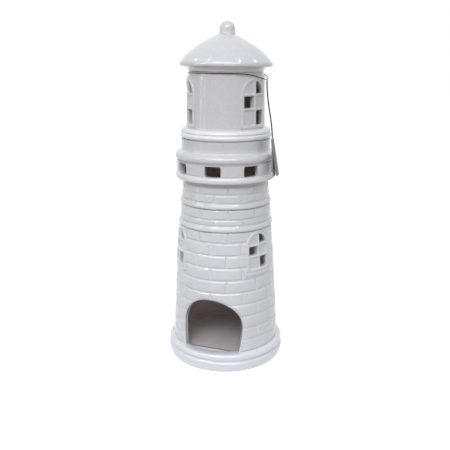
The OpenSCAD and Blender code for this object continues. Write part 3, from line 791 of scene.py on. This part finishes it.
def make_card(top):
    """Folded card: two thin leaves that bow a little and open downward from the fold."""
    half, rows, across = CARD_SPREAD / 2, 14, 8
    line = []
    for i in range(rows, 0, -1):
        down = i / rows
        line.append((-half * down ** 0.85 + LEAF_T / 2, -CARD_H * down))
    line.append((0.0, -0.25))
    line += [(-x, z) for x, z in reversed(line[:-1])]
    line = np.array(line)
    way = np.gradient(line, axis=0)
    normal = np.stack([way[:, 1], -way[:, 0]], -1) / np.linalg.norm(way, axis=1)[:, None]
    section = np.concatenate([line + normal * LEAF_T / 2, (line - normal * LEAF_T / 2)[::-1]])
    section[:, 1] = np.clip(section[:, 1], -CARD_H, 0)
    n = len(section)
    lean, turn = radians(CARD_LEAN), radians(TAG_AZ)
    points = []
    for k in range(across + 1):
        side = CARD_W * (k / across - 0.5)
        bow = 0.25 * (1 - (2 * k / across - 1) ** 2)
        for x, z in section:
            out = x * cos(lean) - z * sin(lean) + bow * (-z / CARD_H)
            up = z * cos(lean) + x * sin(lean)
            x = side * cos(CARD_TURN) - out * sin(CARD_TURN)
            y = side * sin(CARD_TURN) + out * cos(CARD_TURN)
            points.append((x * cos(turn) + y * sin(turn) + top.x / MM,
                           x * sin(turn) - y * cos(turn) + top.y / MM, up + top.z / MM))
    faces = ring_faces(n, across)
    m = len(line)
    for k in (0, across):
        faces += [(k * n + i, k * n + i + 1, k * n + n - 2 - i, k * n + n - 1 - i) for i in range(m - 1)]
    card = make_mesh("folded_card", points, faces, crease=40)
    return dress(card, "tag", ["hang_tag"], [grey_card])


make_neck_string()
make_tag()


# The foot and the floor of the chamber

def kinked(a, x, y, z):
    """The crease between the two mouldings steps up where the halves of the mould met."""
    a = (a + 180) % 360 - 180
    step = (1 - smooth(1.5, 5.5, a)) * smooth(-75, -10, a)
    return x, y, z + KINK_H * step * max(0, 1 - abs(z - FOOT_H) / KINK_REACH)


def make_foot():
    chamber_r = TOWER_FOOT_R - WALL
    floor_r = chamber_r - CHAMBER_STEP
    under = low("chamber_floor")
    foot_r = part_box("base_plinth")[1].x / MM
    section = [(chamber_r - WALL, 0.0), (foot_r - 0.3 * FOOT_H - 0.4, 0.0), (foot_r - 0.3 * FOOT_H, 0.25)]
    section += arc(foot_r - FOOT_ROUND, TOE_LOW * FOOT_H, FOOT_ROUND, TOE_LOW * FOOT_H, -60, 0, 14)
    section += arc(foot_r - FOOT_ROUND, TOE_LOW * FOOT_H, FOOT_ROUND, (1 - TOE_LOW) * FOOT_H, 10, 62, 7)
    section += [(foot_r - FOOT_ROUND + 1.25, FOOT_H)]
    section += arc(TOE_R - TOE_H / 2, FOOT_H + TOE_H / 2, TOE_H / 2, TOE_H / 2, -56, 82, 14)
    section += [(TOWER_FOOT_R - 0.4, TOWER_Z), (floor_r + 0.6, TOWER_Z), (floor_r, TOWER_Z - 0.3)]
    inner = len(section) - 2
    section += [(floor_r, FLOOR_Z), (floor_r, under), (chamber_r - WALL, under)]
    # Painted shade in the crease over the foot; painted light over the whole foot, more over the toe
    foot = lathe("foot_casting", section, inner_from=inner, shaded_bands=[(FOOT_H, 1.0, 0.1)],
                 painted_bright=[(-1, TOWER_Z + 1, 0.3), (FOOT_H - 2, TOWER_Z + 1, 0.7)], shift=kinked)
    ware(foot, "base_plinth", WARE)
    make_sill_and_floor(floor_r, under)


def chord_outline(radius, front):
    """The part of a disc in front of the sill's edge, or else behind it, as an outline in plan."""
    half = acos(SILL_OUT / radius)
    ahead = np.linspace(-half, half, 41) if front else np.linspace(half, 2 * pi - half, 121)
    points = [(radius * sin(t), -radius * cos(t)) for t in ahead]
    side = radius * sin(half)
    edge = np.linspace(side - 1, 1 - side, 24) if front else np.linspace(1 - side, side - 1, 24)
    points += [(x, -SILL_OUT) for x in edge]
    a = radians(SILL_AZ)
    return [(x * cos(a) - y * sin(a), x * sin(a) + y * cos(a)) for x, y in points]


def make_sill_and_floor(floor_r, under):
    front = chord_outline(floor_r + 0.6, True)
    # Painted light: the whole sill takes the lighter tone, standing in for light on its shaded top
    sill = slab("door_sill", front, under, TOWER_Z + 0.02, edge=0.5, painted_bright=1.0)
    dress(sill, "lantern", [], [white])
    floor = slab("chamber_bottom", chord_outline(floor_r - 0.05, False), under, FLOOR_Z, edge=0.3)
    dress(floor, "lantern", ["chamber_floor"], [floor_glaze])


def slab(name, outline, foot, head, edge, painted_bright=0.0):
    """A flat piece with an upright side and a rounded upper edge. bright is its share of painted light."""
    outline = np.array(outline)
    way = np.roll(outline, -1, axis=0) - np.roll(outline, 1, axis=0)
    inward = np.stack([-way[:, 1], way[:, 0]], -1) / np.linalg.norm(way, axis=1)[:, None]
    rings = [(outline, foot), (outline, head - edge)]
    for phi in np.radians([30, 60, 90]):
        rings.append((outline + inward * edge * (1 - cos(phi)), head - edge * (1 - sin(phi))))
    points = [(x, y, z) for ring, z in rings for x, y in ring]
    n = len(outline)
    faces = ring_faces(n, len(rings) - 1)
    faces += [tuple(range(n))[::-1], tuple(range((len(rings) - 1) * n, len(rings) * n))]
    return make_mesh(name, points, faces, [painted_bright] * len(points))


make_foot()


# The brick tower with its door

def gaps_for(window, foot):
    """The two gaps in a wall that hold the windows to the left and right of the door."""
    edge = window_edge(window["w"], foot, window["h"], window["ledge"])
    return [Hole(side * window["az"], edge, 0.0) for side in (-1, 1)]


def make_tower():
    half = 180 / BRICKS
    count = round((LOWER_BAND_Z - TOWER_Z - LAST_COURSE_H) / COURSE_H)
    seams = [TOWER_Z + i * COURSE_H for i in range(count + 1)]
    courses = [(seams[i], seams[i + 1], half * (i % 2) + LOWER_TURN, 1.0) for i in range(count)]
    courses.append((seams[count], LOWER_BAND_Z, half * (count % 2), 0.85))
    holes = [Hole(0.0, door_edge, DOOR_RIM, radial=True, dark=DOOR_DARK)]
    holes += gaps_for(TOWER_WINDOW, TOWER_GLASS_Z)
    door_az = np.linspace(-39, 37, 63)
    door_z = np.arange(TOWER_Z, TOWER_Z + DOOR_H + 4, 1.1)
    # Each length takes painted shade at its foot and head, deepest under the bands
    tower = brick_shell("tower_bricks", TOWER_Z, LOWER_BAND_Z, courses,
                        [(TOWER_Z, 0.8, 0.5), (LOWER_BAND_Z, 1.3, 0.95)], holes, door_az, door_z)
    ware(tower, "tower_wall", WARE)
    middle = brick_shell("middle_bricks", LOW_COURSE_Z, UPPER_BAND_Z,
                         [(LOW_COURSE_Z, MIDDLE_Z, 0, 0.4), (MIDDLE_Z, UPPER_BAND_Z, half, 0.85)],
                         [(LOW_COURSE_Z, 0.8, 0.3), (UPPER_BAND_Z, 1.3, 0.95)])
    ware(middle, "middle_courses")
    top = brick_shell("top_bricks", HIGH_Z, GALLERY_Z,
                      [(HIGH_Z, CUT_Z, 0, 0.7), (CUT_Z, GALLERY_Z, half, 0.6)],
                      [(HIGH_Z, 0.8, 0.3), (GALLERY_Z, 0.6, 0.3)])
    ware(top, "top_courses")


def make_band(name, node):
    """Plain band, fullest near its foot."""
    foot, head = low(node), high(node)
    r0, r1 = float(tower_r(foot)), float(tower_r(head))
    section = [(r0 - WALL, foot), (r0 - BAND_GROOVE, foot)]
    for t in np.linspace(0.02, 1, 25):
        swell = BAND_PROUD * sin(pi * t ** 0.6)
        section.append((r0 + (r1 - r0) * t + swell, foot + (head - foot) * t))
    inner = len(section)
    section += [(r1 - WALL, head)]
    # Painted shade in the creases at the band's foot and head
    band = lathe(name, section, inner_from=inner, shaded_bands=[(foot, 0.5, 0.95), (head, 0.5, 0.4)])
    ware(band, node)


make_tower()
make_band("lower_swell", "lower_band")
make_band("upper_swell", "upper_band")


# The windows

def make_window(name, node, window, foot, side, wall_r, back_r):
    """Frame and bars with rounded faces, blind panes sunk into the wall and open ones cut through."""
    w, h, ledge = window["w"], window["h"], window["ledge"]
    outline = window_edge(w, foot, h, ledge)
    panes = pane_edges(w, foot, h)
    az0 = side * window["az"]
    holes = [Hole(az0, lambda x, z: -outline(x, z), FRAME_RIM)]
    holes += [Hole(az0, pane, PANE_RIM) for pane, is_open in panes if is_open]
    radius = float(wall_r(foot + h / 2))
    half = w / 2 + FRAME_W + LEDGE_OUT + 0.6
    az = az0 + np.degrees(np.arcsin(np.arange(-half, half + 0.3, WINDOW_GRID) / radius))
    levels = np.arange(foot - FRAME_W - ledge - 0.5, foot + h + FRAME_W + 0.6, WINDOW_GRID)
    depth = FRAME_PROUD + BLIND_D
    crease_z = foot - FRAME_W

    def height(a, z):
        x = radius * np.sin(np.radians(a - az0))
        away = np.min([pane(x, z) for pane, _ in panes], axis=0)
        dome = np.sqrt(1 - (1 - np.clip(away / BAR_ROUND, 0, 1)) ** 2)
        crease = (1 - smooth(0.1, 0.8, np.abs(z - crease_z))) * LEDGE_LINE if ledge else 0
        return -BLIND_D + depth * dome - crease, dome

    def outer(a, z):
        return wall_r(z) + wander(a, z) + height(a, z)[0]

    # Painted shade: a dark line round each blind pane, and a darker tone over it
    def pool(a, z):
        dome = height(a, z)[1]
        rise = smooth(0, 0.3, dome)
        return PANE_LINE * rise * (1 - smooth(0.3, 0.8, dome)) + PANE_SHADE * (1 - rise)

    made = shell(name, az, levels, outer, back_r, holes, pool=pool, whole=False)
    ware(made, node)


def lantern_in(z):
    """Inner radius of the lantern room."""
    return LANTERN_IN_R + (NECK_IN_R - LANTERN_IN_R) * (z - LANTERN_Z) / (ROOF_Z - LANTERN_Z)


for word, hand in (("left", -1), ("right", 1)):
    make_window("tower_casement_" + word, "tower_window_" + word, TOWER_WINDOW,
                TOWER_GLASS_Z, hand, tower_r, lambda z: tower_r(z) - WALL)
    make_window("lantern_casement_" + word, "lantern_window_" + word, LANTERN_WINDOW,
                LANTERN_GLASS_Z, hand, lambda z: lantern_in(z) + WALL, lantern_in)


# The gallery, the drum and the sill of the lantern room

def make_parapet():
    flare_r = GALLERY_R - TOWER_HEAD_R
    lip_r, lip_z = GALLERY_R - LIP_IN, PARAPET_Z + LIP_MID
    face = [(TOWER_HEAD_R, GALLERY_Z)] + arc(GALLERY_R, GALLERY_Z, flare_r, FLARE_H, 176, 152, 8)
    face += arc(lip_r, lip_z, LIP_IN + LIP_PROUD, LIP_SKIRT, -62, 0, 8)
    face += arc(lip_r, lip_z, LIP_IN + LIP_PROUD, LIP_TOP - LIP_MID, 7, 62, 9)
    face += [(GALLERY_R - 0.1, PARAPET_Z + LIP_TOP + 0.3), (GALLERY_R, PARAPET_Z + LIP_TOP + 0.8)]
    face += [(GALLERY_R, CORNICE_Z)]
    face = np.array(face)
    order = np.argsort(face[:, 1], kind="stable")
    heights, radii = face[order, 1], face[order, 0]

    def outer(a, z):
        return np.interp(z, heights, radii) + wander(a, z)

    def inner(z):
        return np.interp(z, [GALLERY_Z, PARAPET_Z + 1, CORNICE_Z],
                         [TOWER_HEAD_R - WALL, GALLERY_IN_R, GALLERY_IN_R])

    slot_z = CORNICE_Z - SLOT_H - SLOT_DROP
    slot = rectangle_edge(-SLOT_W / 2, SLOT_W / 2, slot_z, slot_z + SLOT_H, SLOT_CORNER)
    holes = [Hole(360 * i / SLOTS, slot, SLOT_RIM, dark=SLOT_DARK) for i in range(SLOTS)]
    half_slot = degrees(SLOT_W / 2 / GALLERY_R)
    jambs = [(360 * i / SLOTS + side * half_slot) % 360 for i in range(SLOTS) for side in (-1, 1)]
    beside = [degrees(o / GALLERY_R) for o in (-2, -1.3, -0.8, -0.4, 0, 0.5)]
    az = grid_lines(0.0, 360.0, jambs, beside, degrees(1.6 / GALLERY_R))[:-1]
    levels = spaced(np.concatenate([np.arange(GALLERY_Z, CORNICE_Z, 0.55), heights, [CORNICE_Z]]), 0.1)
    # Painted shade under the cornice, under the lip and over the flare's foot; painted light on the lip
    shaded_bands = [(CORNICE_Z, 0.9, 0.4), (lip_z - LIP_SKIRT, 1.2, 0.5), (GALLERY_Z, 4, 0.4)]
    painted_bright = [(lip_z - LIP_SKIRT + 0.6, PARAPET_Z + LIP_TOP - 0.3, 0.5)]
    parapet = shell("parapet_casting", az, levels, outer, inner, holes,
                    lambda a, z: painted_light_share(z, painted_bright), lambda a, z: painted_shade_share(z, shaded_bands))
    ware(parapet, "gallery_parapet")


def make_cornice():
    r, rr, height = GALLERY_R - CORNICE_IN, CORNICE_IN + CORNICE_PROUD, DRUM_Z - CORNICE_Z
    middle = CORNICE_Z + height / 3
    section = [(GALLERY_R, CORNICE_Z)] + arc(r, middle, rr, height / 3, -56, 0, 10)
    section += arc(r, middle, rr, CORNICE_HIGH * height, 8, 80, 14)
    fillet_z = middle + CORNICE_HIGH * height
    section += [(DRUM_R + 0.6, fillet_z + 0.15), (DRUM_R + 0.2, fillet_z + 0.7)]
    section += [(DRUM_R, fillet_z + 1.5), (DRUM_R, DRUM_Z)]
    inner = len(section) - 1
    section += [(DRUM_IN_R, DRUM_Z), (GALLERY_IN_R, CORNICE_Z)]
    # Painted shade in the crease at the cornice's foot
    cornice = lathe("cornice_casting", section, inner_from=inner, shaded_bands=[(CORNICE_Z, 0.7, 0.4)])
    ware(cornice, "gallery_cornice")


def make_drum():
    middle = (DRUM_Z + SILL_Z) / 2
    section = [(DRUM_IN_R, DRUM_Z), (DRUM_R, DRUM_Z), (DRUM_R - 0.1, middle), (DRUM_R, SILL_Z),
               (DRUM_IN_R, SILL_Z)]
    # Painted shade over the middle of the drum
    ware(lathe("drum_casting", section, inner_from=4, shaded_bands=[(middle, 8, 0.12)]), "watch_drum")


def make_sill():
    height = LANTERN_Z - SILL_Z
    bottom = SILL_LOW * height
    crease_z, roll = SILL_Z + bottom, (bottom - SILL_STEP) / 2
    section = [(DRUM_IN_R, SILL_Z), (DRUM_R, SILL_Z), (DRUM_R, SILL_Z + SILL_STEP * 0.6)]
    section += arc(DRUM_R - roll, crease_z - roll, roll + SILL_PROUD, roll, -66, 50, 12)
    slope_r, slope_h = DRUM_R - LANTERN_FOOT_R - 0.3, height - bottom - 0.7
    section += arc(LANTERN_FOOT_R + 0.6, crease_z, slope_r, slope_h, 3, 76, 12)
    section += [(LANTERN_FOOT_R + 0.7, LANTERN_Z - 0.6), (LANTERN_FOOT_R + 0.15, LANTERN_Z - 0.25),
                (LANTERN_FOOT_R, LANTERN_Z)]
    inner = len(section)
    section += [(LANTERN_IN_R, LANTERN_Z), (DRUM_IN_R, SILL_Z + bottom)]
    # Painted shade in the sill's creases; painted light over its roll and slope
    sill = lathe("sill_casting", section, inner_from=inner,
                 shaded_bands=[(SILL_Z + SILL_STEP, 0.7, 0.4), (LANTERN_Z, 0.9, 0.2)],
                 painted_bright=[(SILL_Z + SILL_STEP + 0.6, LANTERN_Z - 1, 0.8)])
    ware(sill, "lantern_sill")


def make_lantern():
    az = np.linspace(0, 360, 180, endpoint=False)
    neck = ROOF_Z - NECK_H
    levels = [np.arange(LANTERN_Z, neck - 1, 1.5), np.arange(neck - 1, ROOF_Z, 0.3), [ROOF_Z]]
    levels = spaced(np.round(np.concatenate(levels), 4), 0.1)
    holes = gaps_for(LANTERN_WINDOW, LANTERN_GLASS_Z)

    # Painted shade over the room, deeper under the neck and darkest along the roof's seat
    def pool(a, z):
        return ROOM_SHADE + smooth(-1.0, 0.6, z - neck) * NECK_SHADE + smooth(-1.5, 0, z - ROOF_Z) * SEAT_LINE

    room = shell("lantern_casting", az, levels, lambda a, z: lantern_r(z) + wander(a, z), lantern_in,
                 holes, pool=pool)
    ware(room, "lantern_wall")


make_parapet()
make_cornice()
make_drum()
make_sill()
make_lantern()


# The roof

def tilted(tilt, aside=0.0, pivot=ROOF_Z):
    """The move of a piece that is set down askew: tilted by so many degrees about the height pivot,
    as the photo shows it, and then moved to the photo's right."""
    slope, a = tan(radians(tilt)), radians(VIEW_AZ)
    right, away = Vector((cos(a), sin(a), 0)), Vector((-sin(a), cos(a), 0))

    def move(_, x, y, z):
        p = Vector((x, y, 0))
        across = p.dot(right)
        moved = right * (across + slope * (z - pivot) + aside) + away * p.dot(away)
        return moved.x, moved.y, z - slope * across
    return move


def make_roof():
    collar_r = NECK_IN_R - COLLAR_GAP
    hollow_r = collar_r - COLLAR_T
    rim_r = EAVE_R - EAVE_RIM
    seat_r = FINIAL_R + FINIAL_STEP
    section = [(NECK_R, ROOF_Z)] + arc(rim_r, ROOF_Z, rim_r - NECK_R, SOFFIT_H, 176, 96, 14)
    section += [(rim_r + 0.2, ROOF_Z + SOFFIT_H - 0.02), (EAVE_R - 0.75, ROOF_Z + SOFFIT_H + 0.15),
                (EAVE_R - 0.2, ROOF_Z + SOFFIT_H + 0.7), (EAVE_R, ROOF_Z + SOFFIT_H + 1.5)]
    section += [(r, FINIAL_Z - roof_fall(r)) for r in np.linspace(EAVE_R - 0.1, seat_r, 34)]
    section += [(0.0, FINIAL_Z), (0.0, FINIAL_Z - ROOF_T)]
    inner = len(section) - 1
    section += [(r, FINIAL_Z - ROOF_T - roof_fall(max(r, seat_r))) for r in np.linspace(3, hollow_r, 16)]
    section += [(hollow_r, ROOF_Z)]
    askew = tilted(ROOF_TILT)
    # Painted shade along the roof's seat; painted light over the soffit, which faces down
    dome = lathe("roof_casting", section, inner_from=inner, shaded_bands=[(ROOF_Z, 0.9, 0.4)],
                 painted_bright=[(ROOF_Z - 1, ROOF_Z + SOFFIT_H, 0.9)], shift=askew)
    ware(dome, "roof_dome", body="roof")
    foot = low("roof_collar")
    corners = [(hollow_r, ROOF_Z), (hollow_r, foot), (collar_r, foot), (collar_r, ROOF_Z)]
    section = rounded(*corners[:3], COLLAR_EDGE) + rounded(*corners[1:], COLLAR_EDGE)
    collar = lathe("collar_casting", section + [corners[3], corners[0]], segments=120)
    ware(collar, "roof_collar", [inside, upper_inside], "roof")
    cap_h = min(FINIAL_R, TOP_Z - FINIAL_Z - 1)
    cap_z = TOP_Z - cap_h
    section = [(0.0, FINIAL_Z - 0.4), (seat_r, FINIAL_Z - 0.4), (seat_r, FINIAL_Z)]
    section += arc(seat_r, cap_z, FINIAL_STEP, cap_z - FINIAL_Z, 250, 190, 6)
    section += arc(0, cap_z, FINIAL_R, cap_h, 4, 90, 20)
    aside = FINIAL_ASIDE + tan(radians(ROOF_TILT)) * (FINIAL_Z - ROOF_Z)
    # Painted shade round the finial's foot
    knob = lathe("finial_casting", section, segments=96, shaded_bands=[(FINIAL_Z, 0.9, 0.6)],
                 shift=tilted(FINIAL_TILT, aside, FINIAL_Z))
    ware(knob, "roof_finial", [white], "roof")


make_roof()


# The room: a pale floor, a white background and soft lamps

FLOOR_FADE = (0.07, 0.10)            # metres from the axis between which the floor's unseen tone turns darker


def make_floor():
    mesh = bpy.data.meshes.new("floor")
    half = 4.0
    corners = [(-half, -half, 0), (half, -half, 0), (half, half, 0), (-half, half, 0)]
    mesh.from_pydata(corners, [], [(0, 1, 2, 3)])
    floor = put_in_scene("floor", mesh)
    n = Nodes(bpy.data.materials.new("pale_floor"))
    seen = n.background_seen()
    place = n.add("NewGeometry").outputs["Position"]
    away = n.add("VectorMath", {0: place}, operation="LENGTH").outputs["Value"]
    tone = n.mix(n.span(away, *FLOOR_FADE, 0, 1), colour(0.86, 0.85, 0.84), colour(0.47, 0.425, 0.375))
    matt = n.add("BsdfDiffuse", {"Color": tone}).outputs[0]
    shadow = n.add("BsdfDiffuse", {"Color": colour(0.35, 0.35, 0.355)}).outputs[0]
    lit = n.add("Emission", {"Color": colour(1, 1, 1), "Strength": 0.86}).outputs[0]
    pale = n.add("AddShader", {0: shadow, 1: lit}).outputs[0]
    mesh.materials.append(n.finish(n.add("MixShader", {0: seen, 1: matt, 2: pale}).outputs[0]))


def make_world():
    world = bpy.data.worlds.new("room")
    bpy.context.scene.world = world
    n = Nodes(world)
    seen = n.background_seen()
    room = n.add("Background", {"Color": colour(0.95, 0.965, 1.0), "Strength": 0.51}).outputs[0]
    paper = n.add("Background", {"Color": colour(1, 1, 1), "Strength": 1.0}).outputs[0]
    out = n.add("MixShader", {0: seen, 1: room, 2: paper}).outputs[0]
    n.add("OutputWorld", {"Surface": out})


def make_lamp(name, az, elevation, away, width, height, power, seen_in):
    """An area lamp that looks at the middle of the object. az turns from the door towards +X.
    seen_in holds DIFFUSE where it lights the ware and GLOSSY where it leaves a glint on the glaze."""
    data = bpy.data.lights.new(name, "AREA")
    data.shape = "RECTANGLE"
    data.size, data.size_y = width, height
    data.energy = power
    lamp = put_in_scene(name, data)
    e = radians(elevation)
    middle = Vector((0, 0, 0.17))
    away_from = Vector(polar(az, cos(e), sin(e))) * away
    lamp.location = middle + away_from
    lamp.rotation_euler = away_from.to_track_quat("Z", "Y").to_euler()
    lamp.visible_diffuse, lamp.visible_glossy = "DIFFUSE" in seen_in, "GLOSSY" in seen_in


# Small lamps that only glint: azimuth, elevation and power. The first four glint on the roof.
ROOM_SPOTS = [(-101, 49, 0.9), (-67, 67, 0.8), (88, 69, 0.5), (128, 49, 0.8),
              (-52, 29, 1.2), (-9, 35, 1.2), (45, 35, 1.2), (-41, 42, 2.5),
              (-12, 47, 2.5), (-5, 49, 2), (53, 46, 2.5)]
SPOT_SIZE, SPOT_AWAY = 0.035, 1.6

make_floor()
make_world()
make_lamp("top_lamp", 0, 78, 1.3, 0.9, 0.9, 1.9, ["DIFFUSE"])
make_lamp("front_lamp", 2, 38, 1.3, 0.9, 0.5, 6.8, ["DIFFUSE"])
make_lamp("ceiling_glow", 8, 46, 1.3, 1.4, 1.0, 12.5, ["GLOSSY"])
for strip_az, strip_power in ((-62, 0.9), (-49, 0.5)):
    make_lamp(f"strip_lamp_{strip_az}", strip_az, 12, 1.4, 0.02, 1.0, strip_power, ["GLOSSY"])
for spot_az, spot_el, spot_power in ROOM_SPOTS:
    make_lamp(f"glint_{spot_az}", spot_az, spot_el, SPOT_AWAY, SPOT_SIZE, SPOT_SIZE, spot_power, ["GLOSSY"])

bpy.context.scene.view_settings.view_transform = "Standard"
